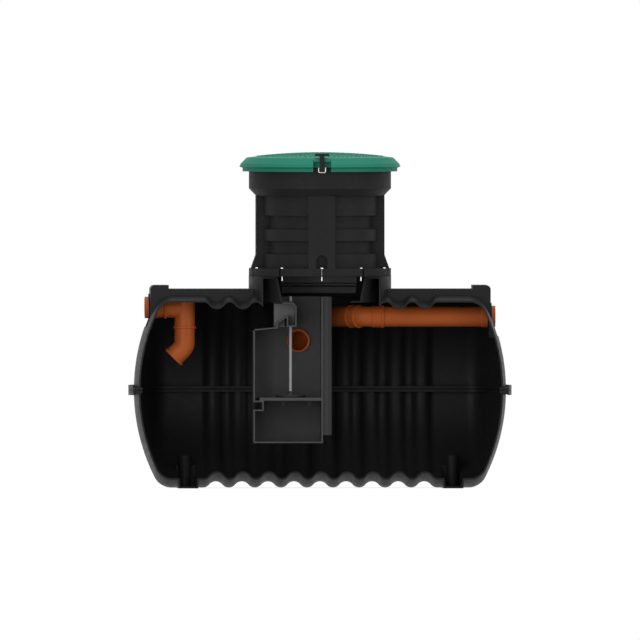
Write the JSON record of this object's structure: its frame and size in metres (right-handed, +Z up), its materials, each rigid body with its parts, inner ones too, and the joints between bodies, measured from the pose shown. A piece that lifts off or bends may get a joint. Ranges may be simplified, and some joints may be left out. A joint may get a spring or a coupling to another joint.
{
  "type": "cutaway septic tank",
  "caption": "Horizontal plastic septic tank, cut open lengthwise: ribbed half shells, riser with lift-off lid, inlet and outlet pipes and a hanging clarifying unit.",
  "frame": {"origin": "under the middle of the whole object's box, on the floor that the skids rest on", "axes": "+X along the tank from the inlet to the outlet, -Y the cut-open front, +Z up"},
  "size_m": [2.07, 0.9892, 1.811],
  "materials": {
    "black_shell": "moulded black polyethylene, satin",
    "black_riser": "moulded black polyethylene, satin",
    "rubber_seal": "matt black rubber",
    "green_lid": "moulded green polyethylene, satin",
    "orange_pipe": "orange-brown drain pipe, semi-gloss",
    "grey_unit": "dark grey moulded plastic, satin",
    "pale_rod": "light grey plastic rod",
    "dark_disc": "dark grey plastic",
    "steel_wire": "bright stainless steel"
  },
  "bodies": {
    "tank": {"lower_shell": "black_shell", "lower_left_end": "black_shell", "lower_right_end": "black_shell", "upper_shell": "black_shell", "upper_left_end": "black_shell", "upper_right_end": "black_shell", "neck": "black_shell", "neck_funnel": "black_shell", "floor_post_left": "black_shell", "floor_post_right": "black_shell", "riser": "black_riser", "joint_seal": "rubber_seal", "neck_gasket": "rubber_seal", "inlet_seal": "rubber_seal", "outlet_seal": "rubber_seal", "valve_seal": "rubber_seal", "inlet_socket": "orange_pipe", "inlet_tee": "orange_pipe", "inlet_dip": "orange_pipe", "outlet_socket": "orange_pipe", "outlet_pipe": "orange_pipe", "outlet_bend": "orange_pipe", "unit_connector": "orange_pipe", "unit_housing": "grey_unit", "side_duct": "grey_unit", "unit_hood": "grey_unit", "unit_cover": "grey_unit", "divider_plate": "grey_unit", "flange_screws": "steel_wire"},
    "lid": {"lid": "green_lid", "lid_latch": "rubber_seal", "latch_bail": "steel_wire"},
    "valve": {"valve_disc": "dark_disc", "valve_rod": "pale_rod"}
  },
  "joints": [
    {"name": "lid_lift", "type": "slide", "parent": "tank", "child": "lid", "axis": [0, 0, 1], "range_m": [0, 0.3]},
    {"name": "valve_lift", "type": "slide", "parent": "tank", "child": "valve", "axis": [0, 0, 1], "range_m": [0, 0.15]}
  ]
}
